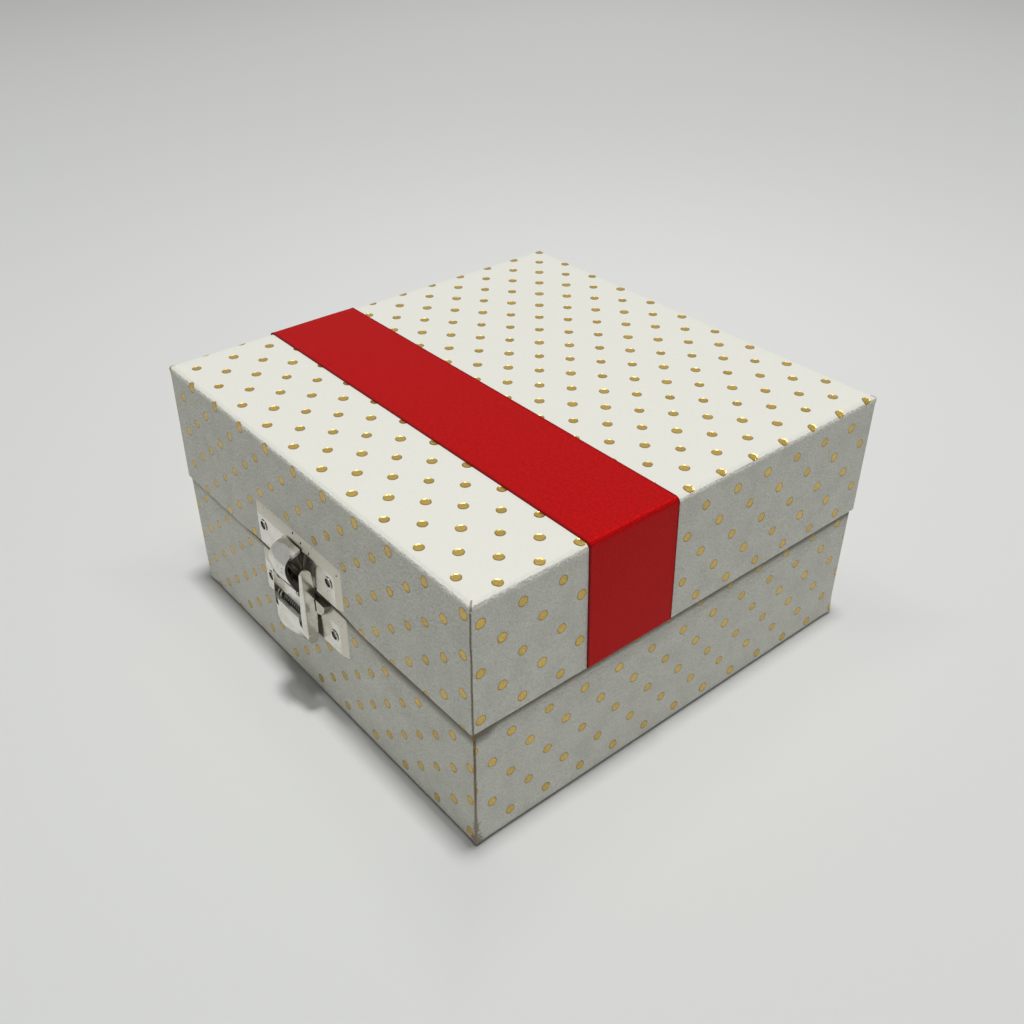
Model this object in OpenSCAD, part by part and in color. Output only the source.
// Hinged gift box of wrapped board with a ribbon band and a spring clasp.
// Millimetres, +Z up, origin at the centre of the underside, clasp towards -Y.

/* [Box] */
// Outside width of the lid
box_w = 127; // [100:1:180]
// Outside depth of the lid
box_d = 127; // [100:1:180]
// Height of the closed box
box_h = 69; // [62:1:110]
// Height of the base up to its rim
base_h = 35; // [30:1:45]
// Gap between the base's rim and the lid's rim
seam_gap = 0.4; // [0.3:0.1:1]
// How far the base stands in from the lid at the left and right
base_inset_w = 0.4; // [0:0.1:1]
// How far the base stands in from the lid at the front and back
base_inset_d = 0.1; // [0:0.1:0.4]

/* [Boards and wrap] */
// Thickness of the boards
board_t = 3; // [2:0.5:5]
// Thickness of the wrap
cover_t = 0.5; // [0.3:0.1:0.8]
// Outside radius where the wrap folds over a board's edge
fold_r = 1.2; // [0.6:0.1:1.3]
// Height of the wrap that is turned in behind each rim
turn_in = 8; // [4:1:14]
// Width of the raw-edged slit where two flaps meet at a corner
corner_slit = 0.2; // [0.1:0.05:0.4]
// Uncut wrap that joins the flaps beyond a fold
corner_bridge = 1.5; // [0.5:0.5:4]
// Thickness of the lining card
lining_t = 0.6; // [0.4:0.1:1.2]
// Distance from a rim to the edge of the lining
lining_drop = 2; // [1:0.5:4]

/* [Ribbon] */
// Width of the ribbon band
ribbon_w = 26; // [10:1:40]
// Thickness of the ribbon band
ribbon_t = 0.4; // [0.2:0.1:0.8]
// Distance of the band's middle in front of the box's middle
ribbon_forward = 20.5; // [0:0.5:30]
// Gap between the band's cut ends and the lid's rim
ribbon_end_gap = 0.3; // [0:0.1:2]

/* [Clasp plates] */
// Distance of the clasp's middle to the left of the box's middle
clasp_left = 3.7; // [0:0.1:20]
// Width of both plates
plate_w = 38.5; // [34:0.5:46]
// Height of both plates
plate_h = 12; // [11.8:0.1:14]
// How far the plates stand off the wrap
plate_t = 1; // [0.8:0.1:1.2]
// Height of the sloped border along a plate's top edge
bevel_top = 2.6; // [1:0.1:3]
// Height of the sloped border along a plate's bottom edge
bevel_low = 0.6; // [0.3:0.1:1]
// Width of the sloped border at a plate's ends
bevel_end = 1.8; // [0.5:0.1:3]
// Distance from the lid's rim up to the strike plate
strike_rise = 1.2; // [0.2:0.1:1.5]
// Distance from the base's rim down to the latch plate
latch_drop = 0.8; // [0.6:0.1:1.2]
// Distance between the two nails of a plate
plate_nail_gap = 29.7; // [26:0.1:32]
// Distance of a plate's nails beyond its middle, away from the seam
plate_nail_away = 0.7; // [0:0.1:1]
// Width of the catch lanced out of the strike plate
catch_w = 6; // [4:0.5:7]
// Sheet thickness of the catch
catch_t = 0.6; // [0.4:0.1:0.8]
// How far the catch stands out from the lid's face
catch_out = 2.5; // [2.3:0.1:2.6]
// Height of the catch's root above the base's rim
catch_root = 3.2; // [2.5:0.1:5]
// Free height between the catch's top and the claw
catch_gap = 0.5; // [0.4:0.1:1]
// Radius of the half-round shoulders beside the lever
shoulder_r = 4.4; // [3:0.1:4.6]
// How far the shoulders stand out from the lid's face
shoulder_out = 1.6; // [1.2:0.1:2.4]
// Depth of the shoulders' flat top below the base's rim
shoulder_drop = 0.4; // [0.3:0.1:1]
// How much narrower the shoulders are at their face
shoulder_taper = 0.5; // [0:0.1:0.8]
// Side of the punch marks along the strike plate's top border
punch_mark = 0.5; // [0.3:0.1:0.8]
// Distance between two punch marks
punch_step = 3.9; // [3:0.1:6]
// Distance of the middle punch mark from the plate's middle
punch_right = 2.6; // [-4:0.1:4]
// How much lower each punch mark sits than the one left of it
punch_fall = 0.7; // [0:0.1:0.7]

/* [Clasp lever] */
// Outside width of the lever over its two arms
lever_w = 14; // [13.5:0.5:18]
// Distance of the lever's middle to the right of the plates' middle
lever_right = 1.2; // [-2:0.1:2]
// Sheet thickness of the lever
lever_t = 0.8; // [0.6:0.1:1]
// How far the lever stands out from the lid's face at its front
lever_out = 5.4; // [5.3:0.1:5.8]
// Outside radius of the lever's long front edges
lever_edge_r = 1.4; // [1:0.1:1.6]
// Depth of the tongue's end below the base's rim
tongue_drop = 15.8; // [15:0.1:16.5]
// Depth of the tongue's top edge below the base's rim
tongue_top = 5.6; // [5.2:0.1:7]
// Corner radius of the tongue's end in the front view
tongue_r = 6.4; // [2:0.1:6.6]
// Outside radius of the tongue's end in the side view
tongue_end_r = 2; // [1.2:0.1:2.2]
// How much closer to the box the tongue's front comes towards its end
tongue_lean = 0.6; // [0:0.1:0.8]
// Width of the relief slots beside the tongue
slot_w = 1.2; // [0.6:0.1:1.5]
// Length of the relief slots beside the tongue
slot_len = 2.4; // [1:0.1:4]
// Height of the arms' round tips above the base's rim
arm_rise = 8.5; // [7:0.1:9]
// Radius of the arms' tips
arm_r = 1.4; // [0.8:0.1:1.5]
// Lean of the arms' tips away from the strike plate
arm_lean = 0.4; // [0:0.05:0.6]
// How far the tongue's back edge stands off the latch plate at its end
tongue_gap = 1.15; // [1.1:0.05:1.6]
// How far the crosspiece stands out from the lid's face
cross_out = 3.8; // [3.6:0.1:4.2]
// Depth of the crosspiece's top edge below the base's rim
cross_top = 0.6; // [0.3:0.1:1]
// Height of the crosspiece
cross_h = 3.2; // [2.5:0.1:3.4]
// Width of the claw
claw_w = 7.6; // [7:0.1:9]
// Distance of the claw's middle to the left of the lever's middle
claw_left = 1.6; // [-2:0.1:2]
// How far the claw stands out from the lid's face
claw_out = 6.4; // [6:0.1:7.5]
// Height of the claw above the base's rim
claw_rise = 11.3; // [11:0.1:11.6]
// Outside radius of the claw's bend
claw_r = 4.4; // [2:0.1:4.6]

/* [Pivot and spring] */
// Distance of the pivot from the lid's face
pivot_out = 2.8; // [2.7:0.05:3]
// Depth of the pivot below the base's rim
pivot_drop = 5.8; // [5.6:0.1:6]
// Diameter of the pivot pin
lever_pin_d = 1.4; // [1:0.1:1.5]
// Metal of an arm left over the pin's end
pin_cap = 0.3; // [0.2:0.05:0.5]
// Sheet thickness of the ears that hold the pivot pin
ear_t = 0.6; // [0.4:0.1:0.8]
// Round radius of the ears
ear_r = 1.4; // [1.2:0.1:1.5]
// Wire diameter of the torsion spring
wire_d = 0.4; // [0.3:0.02:0.44]
// Mean diameter of the spring's curls
curl_d = 2.3; // [2.2:0.05:2.4]
// Distance from one curl to the next
curl_step = 0.9; // [0.86:0.02:1]
// Whole curls of the spring
curls = 9; // [4:1:9]

/* [Hinges] */
// Distance of each hinge's middle from the box's end
hinge_end = 28.5; // [20:0.5:40]
// Width of a hinge
hinge_w = 18; // [14:1:26]
// Height of a leaf from its knuckles to its far edge
leaf_h = 8.4; // [6:0.2:12]
// Sheet thickness of a leaf
leaf_t = 0.8; // [0.5:0.1:1]
// Corner radius of a leaf
leaf_r = 2; // [1:0.1:3]
// Outside diameter of the knuckles
knuckle_d = 3.2; // [2.8:0.1:4]
// Length of the middle knuckle
knuckle_mid = 8; // [5:0.5:9]
// Diameter of the hinge pins
hinge_pin_d = 1.6; // [1:0.1:1.8]
// Distance between the two nails of a leaf
leaf_nail_gap = 10; // [6:0.5:12]

/* [Nails and clearances] */
// Shank diameter of the nails
nail_d = 1.2; // [0.8:0.1:1.4]
// Head diameter of the nails
nail_head_d = 2.2; // [1.8:0.1:2.6]
// Height of the nail heads
nail_head_t = 0.4; // [0.3:0.05:0.5]
// Board left uncut behind a nail's point
nail_tip_gap = 0.6; // [0.3:0.1:1]
// Width of the raised ring round a plate's nail hole
ring_w = 0.4; // [0.2:0.1:0.6]
// Height of the raised ring round a plate's nail hole
ring_t = 0.2; // [0.1:0.05:0.3]
// Radial clearance of a turning fit
run_clear = 0.05; // [0.02:0.01:0.1]
// Radial clearance of a nail or a fixed pin in its hole
fixed_clear = 0.02; // [0.01:0.01:0.05]
// Gap between pieces that pass each other
part_clear = 0.3; // [0.3:0.05:0.4]

/* [Hidden] */
$fn = 48;
over = 0.01;
base_w = box_w - 2 * base_inset_w;
base_d = box_d - 2 * base_inset_d;
rim_lid = base_h + seam_gap;
wall_t = cover_t + board_t;
floor_top = wall_t;
lid_under = box_h - wall_t;
lid_h = box_h - rim_lid;
front_y = -box_d / 2;
clasp_x = -clasp_left;
// Clasp sizes run outwards from the lid's face and upwards from the base's rim
latch_face = plate_t - base_inset_d;
strike_low = seam_gap + strike_rise;
strike_nail_z = strike_low + plate_h / 2 + plate_nail_away;
latch_low = -latch_drop - plate_h;
latch_nail_z = latch_low + plate_h / 2 - plate_nail_away;
catch_top = claw_rise - lever_t - catch_gap;
arm_in = plate_t + part_clear;
tongue_in = latch_face + tongue_gap;
ear_x = lever_w / 2 - lever_t - part_clear - ear_t;
// Turning of the wire beyond its whole curls, between its two legs
leg_back_angle = 173;
leg_front_angle = 10;
spring_spare = leg_back_angle - leg_front_angle;
spring_len = curl_step * (curls + spring_spare / 360);
leg_back_len = 4.1;
leg_front_len = 1.6;
curl_rings = 8;
wire_sides = 6;
hinge_offset = box_w / 2 - hinge_end;
hinge_y = box_d / 2 + knuckle_d / 2;
hinge_z = base_h + seam_gap / 2;
leaf_start = knuckle_d / 2 + part_clear;
leaf_mid = leaf_start + leaf_h / 2;
nail_len = wall_t - nail_tip_gap;

// Points on an arc about c
function arc_points(c, r, from, to, steps = 8) =
    [for (i = [0:steps]) let (a = from + (to - from) * i / steps) c + r * [cos(a), sin(a)]];

// Unit vector square to the path at point i
function path_normal(path, i) =
    let (before = path[max(i - 1, 0)])
    let (after = path[min(i + 1, len(path) - 1)])
    let (along = (after - before) / norm(after - before))
    [-along[1], along[0]];

// Outline of a sheet of thickness t bent along a path
function strap_outline(path, t) = concat(
    [for (i = [0:len(path) - 1]) path[i] + path_normal(path, i) * t / 2],
    [for (i = [len(path) - 1:-1:0]) path[i] - path_normal(path, i) * t / 2]
);

// Rectangle with two round upper corners
module arch_2d(w, h, r) {
    translate([-w / 2, 0]) square([w, h - r]);
    translate([-w / 2 + r, 0]) square([w - 2 * r, h]);
    for (side = [-1, 1]) translate([side * (w / 2 - r), h - r]) circle(r);
}

// Block standing on z = 0 with all four upper edges rounded
module soft_block(w, d, h, r) {
    intersection() {
        rotate([90, 0, 0]) translate([0, 0, -d / 2]) linear_extrude(d) arch_2d(w, h, r);
        rotate([90, 0, 90]) translate([0, 0, -w / 2]) linear_extrude(w) arch_2d(d, h, r);
    }
}

module block(w, d, z_low, z_high) {
    translate([-w / 2, -d / 2, z_low]) cube([w, d, z_high - z_low]);
}

// Four-sided ring of the given wall
module ring_block(w, d, wall, z_low, z_high) {
    difference() {
        block(w, d, z_low, z_high);
        block(w - 2 * wall, d - 2 * wall, z_low - over, z_high + over);
    }
}

// Cuts on the diagonals of the four corners, where two flaps meet
module corner_slits(w, d, z_low, z_high) {
    reach = 2 * (wall_t + cover_t);
    for (sx = [-1, 1], sy = [-1, 1])
        translate([sx * w / 2, sy * d / 2, z_low])
            rotate([0, 0, sx * sy * 45])
                translate([-reach, -corner_slit / 2, 0])
                    cube([2 * reach, corner_slit, z_high - z_low]);
}

// Wrap of a tray: skin, rim fold and turned-in edge, with the tray's closed end down at z = 0
module tray_wrap(w, d, h) {
    difference() {
        intersection() {
            union() {
                block(w, d, 0, cover_t);
                ring_block(w, d, cover_t, 0, h);
                ring_block(w, d, wall_t + cover_t, h - cover_t, h);
                ring_block(w - 2 * wall_t, d - 2 * wall_t, cover_t, h - turn_in, h);
            }
            translate([0, 0, h]) mirror([0, 0, 1]) soft_block(w, d, h, fold_r);
        }
        corner_slits(w, d, fold_r + corner_bridge, h + over);
    }
}

// Lining card of a tray whose closed end is down at z = 0
module tray_lining(w, d, h) {
    card_w = w - 2 * (wall_t + cover_t);
    card_d = d - 2 * (wall_t + cover_t);
    block(card_w, card_d, wall_t, wall_t + lining_t);
    ring_block(card_w, card_d, lining_t, wall_t, h - lining_drop);
}

// Turns a tray over, so that its closed end is on top of the box
module as_lid() {
    translate([0, 0, box_h]) mirror([0, 0, 1]) children();
}

// Holes through the front wraps and walls for the clasp's nails
module plate_nail_holes(nail_z) {
    for (side = [-1, 1])
        translate([clasp_x + side * plate_nail_gap / 2, front_y, base_h + nail_z])
            rotate([-90, 0, 0])
                translate([0, 0, -plate_t])
                    cylinder(d = nail_d + 2 * fixed_clear, h = plate_t + wall_t - nail_tip_gap / 2);
}

// Holes through the back wraps and walls for the hinges' nails
module leaf_nail_holes(up) {
    for (hinge = [-1, 1], side = [-1, 1])
        translate([hinge * hinge_offset + side * leaf_nail_gap / 2, box_d / 2, hinge_z + up * leaf_mid])
            rotate([90, 0, 0])
                translate([0, 0, -leaf_t])
                    cylinder(d = nail_d + 2 * fixed_clear, h = leaf_t + wall_t - nail_tip_gap / 2);
}

// Front or back wall of a tray, running the full width
module long_wall(w, d, z_low, z_high, side) {
    translate([0, side * (d / 2 - cover_t - board_t / 2), 0])
        block(w - 2 * cover_t, board_t, z_low, z_high);
}

// Left or right wall of a tray, fitted between the long walls
module short_wall(w, d, z_low, z_high, side) {
    translate([side * (w / 2 - cover_t - board_t / 2), 0, 0])
        block(board_t, d - 2 * wall_t, z_low, z_high);
}

module base_floor_board() color("tan") block(base_w - 2 * cover_t, base_d - 2 * cover_t, cover_t, floor_top);

module base_front_wall() color("tan") difference() {
    long_wall(base_w, base_d, floor_top, base_h - cover_t, -1);
    plate_nail_holes(latch_nail_z);
}

module base_back_wall() color("tan") difference() {
    long_wall(base_w, base_d, floor_top, base_h - cover_t, 1);
    leaf_nail_holes(-1);
}

module base_left_wall() color("tan") short_wall(base_w, base_d, floor_top, base_h - cover_t, -1);

module base_right_wall() color("tan") short_wall(base_w, base_d, floor_top, base_h - cover_t, 1);

module base_cover_bottom() color("whitesmoke") intersection() {
    tray_wrap(base_w, base_d, base_h);
    block(base_w, base_d, 0, cover_t);
}

module base_cover_sides() color("whitesmoke") difference() {
    tray_wrap(base_w, base_d, base_h);
    block(base_w + 1, base_d + 1, -1, cover_t);
    plate_nail_holes(latch_nail_z);
    leaf_nail_holes(-1);
}

module base_lining() color("ivory") tray_lining(base_w, base_d, base_h);

module lid_top_board() color("tan")
    block(box_w - 2 * cover_t, box_d - 2 * cover_t, lid_under, box_h - cover_t);

module lid_front_wall() color("tan") difference() {
    long_wall(box_w, box_d, rim_lid + cover_t, lid_under, -1);
    plate_nail_holes(strike_nail_z);
}

module lid_back_wall() color("tan") difference() {
    long_wall(box_w, box_d, rim_lid + cover_t, lid_under, 1);
    leaf_nail_holes(1);
}

module lid_left_wall() color("tan") short_wall(box_w, box_d, rim_lid + cover_t, lid_under, -1);

module lid_right_wall() color("tan") short_wall(box_w, box_d, rim_lid + cover_t, lid_under, 1);

module lid_cover() color("whitesmoke") difference() {
    as_lid() tray_wrap(box_w, box_d, lid_h);
    plate_nail_holes(strike_nail_z);
    leaf_nail_holes(1);
}

module lid_lining() color("ivory") as_lid() tray_lining(box_w, box_d, lid_h);

// Band bent over the lid's two side folds, cut just above the rim
module ribbon() color("crimson") {
    band_low = rim_lid + ribbon_end_gap;
    band_h = box_h - band_low;
    translate([0, -ribbon_forward + ribbon_w / 2, band_low])
        rotate([90, 0, 0])
            linear_extrude(ribbon_w)
                difference() {
                    arch_2d(box_w + 2 * ribbon_t, band_h + ribbon_t, fold_r + ribbon_t);
                    translate([0, -over]) arch_2d(box_w, band_h + over, fold_r);
                }
}

// Extrudes a side view drawn as [outwards, upwards] to a width about the clasp's middle
module clasp_side(w, x_mid = 0) {
    translate([clasp_x + x_mid + w / 2, front_y, base_h])
        rotate([90, 0, -90])
            linear_extrude(w)
                children();
}

// Extrudes a front view drawn as [along x, upwards] between two distances from the lid's face
module clasp_front(out_low, out_high) {
    translate([clasp_x, front_y - out_low, base_h])
        rotate([90, 0, 0])
            linear_extrude(out_high - out_low)
                children();
}

// Cylinder along X through the clasp at a point given as [outwards, upwards]
module clasp_rod(p, d, w) {
    translate([clasp_x - w / 2, front_y - p[0], base_h + p[1]])
        rotate([0, 90, 0])
            cylinder(d = d, h = w);
}

// Places what belongs to the lever, which sits a little right of the plates' middle
module at_lever() translate([lever_right, 0, 0]) children();

// Pressed plate with sloped borders, nail holes and their raised rings
module pressed_plate(low, back, nail_z) {
    face = back + plate_t;
    high = low + plate_h;
    head_d = nail_head_d + 4 * fixed_clear;
    difference() {
        union() {
            intersection() {
                clasp_side(plate_w)
                    polygon([[back, low], [face, low + bevel_low], [face, high - bevel_top], [back, high]]);
                translate([clasp_x, front_y, base_h + low])
                    linear_extrude(plate_h)
                        polygon([
                            [-plate_w / 2, -back], [-plate_w / 2 + bevel_end, -face],
                            [plate_w / 2 - bevel_end, -face], [plate_w / 2, -back]
                        ]);
            }
            for (side = [-1, 1])
                translate([clasp_x + side * plate_nail_gap / 2, front_y - face, base_h + nail_z])
                    rotate([90, 0, 0])
                        cylinder(d = head_d + 2 * ring_w, h = ring_t);
        }
        for (side = [-1, 1])
            translate([clasp_x + side * plate_nail_gap / 2, front_y - face, base_h + nail_z])
                rotate([90, 0, 0]) {
                    translate([0, 0, -nail_head_t]) cylinder(d = head_d, h = nail_head_t + 1);
                    translate([0, 0, -plate_t - 1]) cylinder(d = nail_d + 2 * fixed_clear, h = plate_t + 1);
                }
    }
}

// Nail with a slightly domed head, point down, its head resting at z = 0
module nail(len) {
    translate([0, 0, -len]) cylinder(d = nail_d, h = len);
    dome_r = nail_head_d;
    intersection() {
        cylinder(d = nail_head_d, h = nail_head_t);
        translate([0, 0, nail_head_t - dome_r]) sphere(dome_r);
    }
}

module plate_nails(back, nail_z) {
    seat = back + plate_t - nail_head_t;
    for (side = [-1, 1])
        translate([clasp_x + side * plate_nail_gap / 2, front_y - seat, base_h + nail_z])
            rotate([90, 0, 0])
                nail(seat - back + nail_len);
}

module strike_plate() color("silver") {
    window_low = catch_root + catch_t / 2;
    punch_mid = strike_low + plate_h - bevel_top / 2;
    difference() {
        pressed_plate(strike_low, 0, strike_nail_z);
        clasp_front(-1, plate_t + 1)
            translate([-catch_w / 2 - part_clear, window_low])
                square([catch_w + 2 * part_clear, catch_top + part_clear - window_low]);
        for (step = [-1, 0, 1])
            clasp_front(0, plate_t)
                translate([punch_right + step * punch_step, punch_mid - step * punch_fall])
                    square(punch_mark, center = true);
    }
    catch_mid = catch_out - catch_t / 2;
    catch_path = [
        [plate_t - catch_t, catch_root],
        [catch_mid, catch_top - catch_mid / 2],
        [catch_mid, catch_top]
    ];
    clasp_side(catch_w) polygon(strap_outline(catch_path, catch_t));
}

module strike_nails() color("dimgray") plate_nails(0, strike_nail_z);

// Ear folded out of the latch plate to carry the pivot pin
module ear_2d() {
    translate([pivot_out, -pivot_drop]) circle(ear_r);
    translate([0, -pivot_drop - ear_r]) square([pivot_out, 2 * ear_r]);
}

// Shoulder pressed out of the latch plate beside the lever, which keeps the lever in the middle
module guide_shoulder(side) {
    start = lever_w / 2 + part_clear;
    translate([clasp_x, front_y + base_inset_d, base_h - shoulder_drop])
        intersection() {
            translate([side * start, 0, 0])
                rotate([90, 0, 0])
                    cylinder(
                        r1 = shoulder_r,
                        r2 = shoulder_r - shoulder_taper,
                        h = shoulder_out + base_inset_d
                    );
            translate([side > 0 ? start : -start - shoulder_r, -box_d / 2, -shoulder_r])
                cube([shoulder_r, box_d / 2, shoulder_r]);
        }
}

module latch_plate() color("silver") difference() {
    union() {
        difference() {
            pressed_plate(latch_low, -base_inset_d, latch_nail_z);
            at_lever()
                clasp_front(-1, plate_t + 1)
                    translate([-ear_x, -pivot_drop - ear_r]) square([2 * ear_x, 2 * ear_r]);
        }
        at_lever()
            for (side = [-1, 1]) {
                clasp_side(ear_t, side * (ear_x + ear_t / 2)) ear_2d();
                guide_shoulder(side);
            }
    }
    at_lever() clasp_rod([pivot_out, -pivot_drop], lever_pin_d + 2 * fixed_clear, lever_w);
}

module latch_nails() color("dimgray") plate_nails(-base_inset_d, latch_nail_z);

// Front view of the lever's channel: two arms joined by a round end
module channel_2d(w, drop, r) {
    translate([-w / 2, -drop + r]) square([w, drop - r + arm_rise]);
    translate([-w / 2 + r, -drop]) square([w - 2 * r, r + over]);
    for (side = [-1, 1]) translate([side * (w / 2 - r), -drop + r]) circle(r);
}

// Side view of the lever's channel: round arm tips, sloped front and the tongue's round end
module arm_2d() {
    tip = [arm_in + arm_lean + arm_r, arm_rise - arm_r];
    end = [lever_out - tongue_lean - tongue_end_r, -tongue_drop + tongue_end_r];
    polygon(concat(
        arc_points(tip, arm_r, 180, 0, 16),
        [[lever_out, -tongue_top]],
        arc_points(end, tongue_end_r, 0, -90),
        [[tongue_in, -tongue_drop], [arm_in, -pivot_drop + lever_pin_d], [arm_in, strike_low]]
    ));
}

// Side view of the room inside the channel, open at the top and towards the plate
module channel_room_2d() {
    front = lever_out - lever_t;
    end_r = tongue_end_r - lever_t;
    end = [front - tongue_lean - end_r, -tongue_drop + lever_t + end_r];
    polygon(concat(
        [[0, arm_rise + over], [front, arm_rise + over], [front, -tongue_top]],
        arc_points(end, end_r, 0, -90),
        [[0, -tongue_drop + lever_t]]
    ));
}

// Plan of the lever's channel: its two long front edges are rounded
module channel_plan(w, out, r) {
    translate([clasp_x, front_y, base_h - tongue_drop - 1])
        linear_extrude(tongue_drop + arm_rise + 2)
            mirror([0, 1])
                arch_2d(w, out, r);
}

// Side view of the claw: up from the crosspiece, out over the catch and back to the plate
module claw_2d() {
    root = cross_out - lever_t / 2;
    front = claw_out - lever_t / 2;
    top = claw_rise - lever_t / 2;
    bend_r = min(claw_r, claw_out - arm_in - lever_t / 2) - lever_t / 2;
    bend = [front - bend_r, top - bend_r];
    belly = [for (s = [0:0.125:0.875]) [root + (front - root) * sin(90 * s), bend[1] * s]];
    path = concat(
        [[root, -cross_top - cross_h / 2]],
        belly,
        arc_points(bend, bend_r, 0, 90),
        [[arm_in, top]]
    );
    polygon(strap_outline(path, lever_t));
}

module latch_lever() color("silver") at_lever() difference() {
    room_w = lever_w - 2 * lever_t;
    pin_len = lever_w - 2 * pin_cap;
    union() {
        difference() {
            intersection() {
                clasp_front(0, lever_out) channel_2d(lever_w, tongue_drop, tongue_r);
                clasp_side(lever_w) arm_2d();
                channel_plan(lever_w, lever_out, lever_edge_r);
            }
            intersection() {
                clasp_front(-1, lever_out)
                    translate([0, over]) channel_2d(room_w, tongue_drop - lever_t, tongue_r - lever_t);
                clasp_side(lever_w) channel_room_2d();
                translate([0, 1, 0]) channel_plan(room_w, lever_out - lever_t + 1, lever_edge_r - lever_t);
            }
            clasp_front(cross_out, lever_out + 1) {
                translate([-room_w / 2, -tongue_top]) square([room_w, tongue_top + arm_rise + over]);
                for (side = [-1, 1])
                    translate([side * (room_w - slot_w) / 2 - slot_w / 2, -tongue_top - slot_len])
                        square([slot_w, slot_len + over]);
            }
        }
        clasp_side(lever_w - lever_t)
            translate([cross_out - lever_t, -cross_top - cross_h]) square([lever_t, cross_h]);
        clasp_side(claw_w, -claw_left) claw_2d();
    }
    clasp_rod([pivot_out, -pivot_drop], lever_pin_d + 2 * run_clear, pin_len);
}

// The pin's ends sit in blind holes in the arms, with the turning clearance at each end
module lever_pin() color("gray")
    at_lever() clasp_rod([pivot_out, -pivot_drop], lever_pin_d, lever_w - 2 * (pin_cap + run_clear));

// Middle line of the spring's wire as [along x, outwards, upwards]: back leg, curls, front leg
function curl_point(angle) =
    let (turned = leg_back_angle - angle)
    [turned / 360 * curl_step - spring_len / 2,
     pivot_out + curl_d / 2 * cos(angle),
     -pivot_drop + curl_d / 2 * sin(angle)];
function leg_along(angle) = [0, sin(angle), -cos(angle)];
spring_turn = 360 * curls + spring_spare;
spring_rings = round(spring_turn / 360 * curl_rings);
spring_path = concat(
    [for (s = [1, 0.5]) curl_point(leg_back_angle) - leg_along(leg_back_angle) * leg_back_len * s],
    [for (i = [0:spring_rings]) curl_point(leg_back_angle - spring_turn * i / spring_rings)],
    [for (s = [0.5, 1])
        curl_point(leg_back_angle - spring_turn) + leg_along(leg_front_angle) * leg_front_len * s]
);

// Free space between any two stretches of the wire that aren't neighbours
spring_gap = min([
    for (i = [0:len(spring_path) - 1], j = [i + curl_rings / 2:1:len(spring_path) - 1])
        norm(spring_path[i] - spring_path[j])
]) - wire_d;
echo(spring_least_gap = spring_gap);

function unit(v) = v / norm(v);
function wire_ring(path, i) =
    let (along = unit(path[min(i + 1, len(path) - 1)] - path[max(i - 1, 0)]))
    let (side = unit(cross(along, cross([1, 0, 0], along))))
    let (up = cross(side, along))
    [for (k = [0:wire_sides - 1])
        path[i] + wire_d / 2 * (cos(360 * k / wire_sides) * side + sin(360 * k / wire_sides) * up)];

// One unbroken tube of triangles along the wire's middle line
module wire_tube(path) {
    n = wire_sides;
    last = (len(path) - 1) * n;
    points = [for (i = [0:len(path) - 1]) each wire_ring(path, i)];
    walls = [
        for (i = [0:len(path) - 2], k = [0:n - 1])
            let (a = i * n + k, b = i * n + (k + 1) % n)
            each [[a, b, a + n], [b, b + n, a + n]]
    ];
    caps = [for (k = [1:n - 2]) each [[0, k + 1, k], [last, last + k, last + k + 1]]];
    polyhedron(points, concat(walls, caps));
}

module lever_spring() color("dimgray")
    at_lever() translate([clasp_x, front_y, base_h]) mirror([0, 1, 0]) wire_tube(spring_path);

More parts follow.
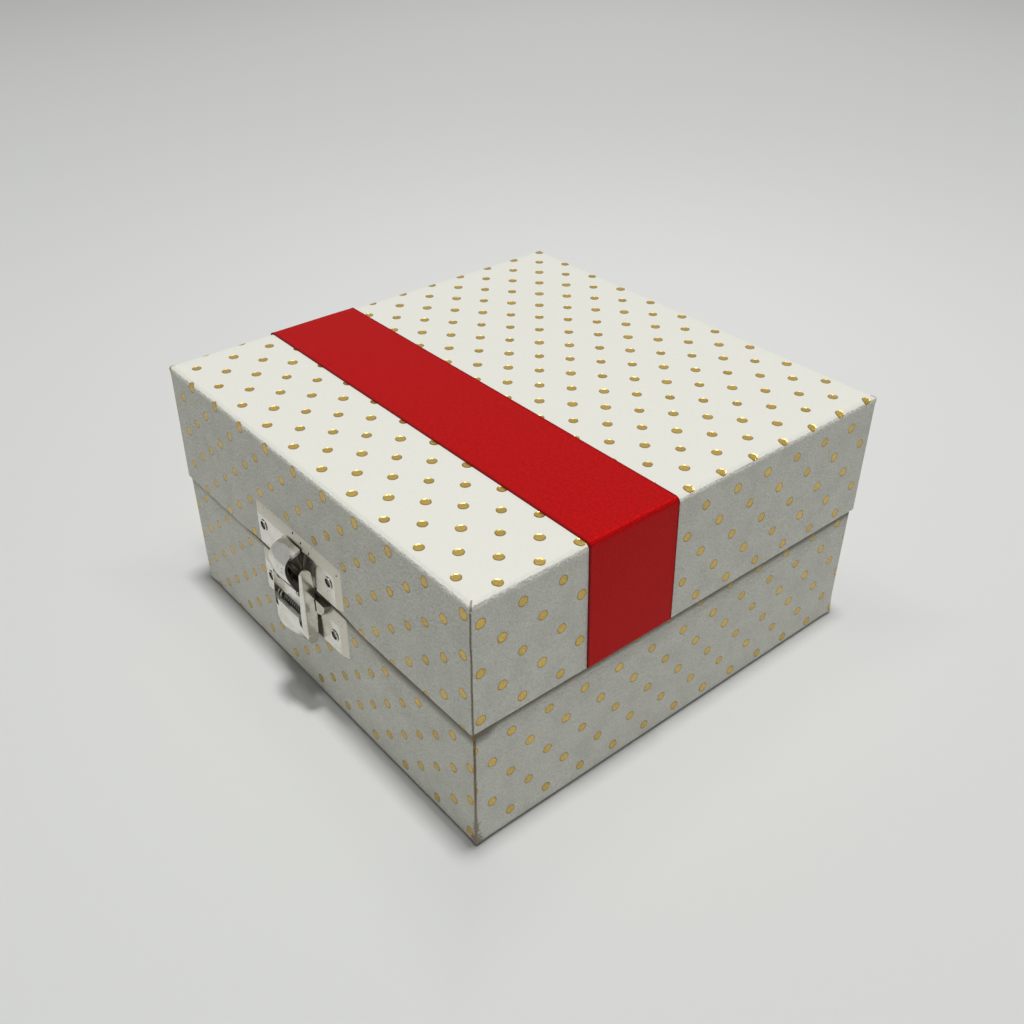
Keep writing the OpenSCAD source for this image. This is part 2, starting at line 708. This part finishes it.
// Leaf in its own place: up is 1 for the lid's leaf and -1 for the base's
module hinge_leaf(x_mid, up, face_y) {
    mid_clear = knuckle_mid + 2 * part_clear;
    knuckle_x = up > 0 ? [[-knuckle_mid / 2, knuckle_mid / 2]]
        : [[-hinge_w / 2, -mid_clear / 2], [mid_clear / 2, hinge_w / 2]];
    pin_clear = up > 0 ? run_clear : fixed_clear;
    translate([x_mid, 0, hinge_z]) difference() {
        union() {
            translate([0, face_y + leaf_t, 0])
                rotate([90, 0, 0])
                    linear_extrude(leaf_t)
                        mirror([0, up > 0 ? 0 : 1])
                            translate([0, leaf_start]) arch_2d(hinge_w, leaf_h, leaf_r);
            for (k = knuckle_x) {
                translate([k[0], hinge_y, 0]) rotate([0, 90, 0]) cylinder(d = knuckle_d, h = k[1] - k[0]);
                translate([k[0], face_y, up > 0 ? 0 : -leaf_start - over])
                    cube([k[1] - k[0], leaf_t, leaf_start + over]);
            }
        }
        translate([-hinge_w, hinge_y, 0])
            rotate([0, 90, 0]) cylinder(d = hinge_pin_d + 2 * pin_clear, h = 2 * hinge_w);
        for (side = [-1, 1])
            translate([side * leaf_nail_gap / 2, face_y - 1, up * leaf_mid])
                rotate([-90, 0, 0]) cylinder(d = nail_d + 2 * fixed_clear, h = leaf_t + 2);
    }
}

module hinge_pin(x_mid)
    translate([x_mid - hinge_w / 2, hinge_y, hinge_z])
        rotate([0, 90, 0])
            cylinder(d = hinge_pin_d, h = hinge_w);

module leaf_nails(up, face_y) {
    for (hinge = [-1, 1], side = [-1, 1])
        translate([hinge * hinge_offset + side * leaf_nail_gap / 2, face_y + leaf_t, hinge_z + up * leaf_mid])
            rotate([-90, 0, 0])
                nail(leaf_t + nail_len);
}

module hinge_base_leaf_left() color("silver") hinge_leaf(-hinge_offset, -1, base_d / 2);

module hinge_base_leaf_right() color("silver") hinge_leaf(hinge_offset, -1, base_d / 2);

module hinge_lid_leaf_left() color("silver") hinge_leaf(-hinge_offset, 1, box_d / 2);

module hinge_lid_leaf_right() color("silver") hinge_leaf(hinge_offset, 1, box_d / 2);

module hinge_pin_left() color("gray") hinge_pin(-hinge_offset);

module hinge_pin_right() color("gray") hinge_pin(hinge_offset);

module hinge_base_nails() color("dimgray") leaf_nails(-1, base_d / 2);

module hinge_lid_nails() color("dimgray") leaf_nails(1, box_d / 2);

base_floor_board();
base_front_wall();
base_back_wall();
base_left_wall();
base_right_wall();
base_cover_bottom();
base_cover_sides();
base_lining();
lid_top_board();
lid_front_wall();
lid_back_wall();
lid_left_wall();
lid_right_wall();
lid_cover();
lid_lining();
ribbon();
strike_plate();
strike_nails();
latch_plate();
latch_nails();
latch_lever();
lever_pin();
lever_spring();
hinge_base_leaf_left();
hinge_base_leaf_right();
hinge_lid_leaf_left();
hinge_lid_leaf_right();
hinge_pin_left();
hinge_pin_right();
hinge_base_nails();
hinge_lid_nails();
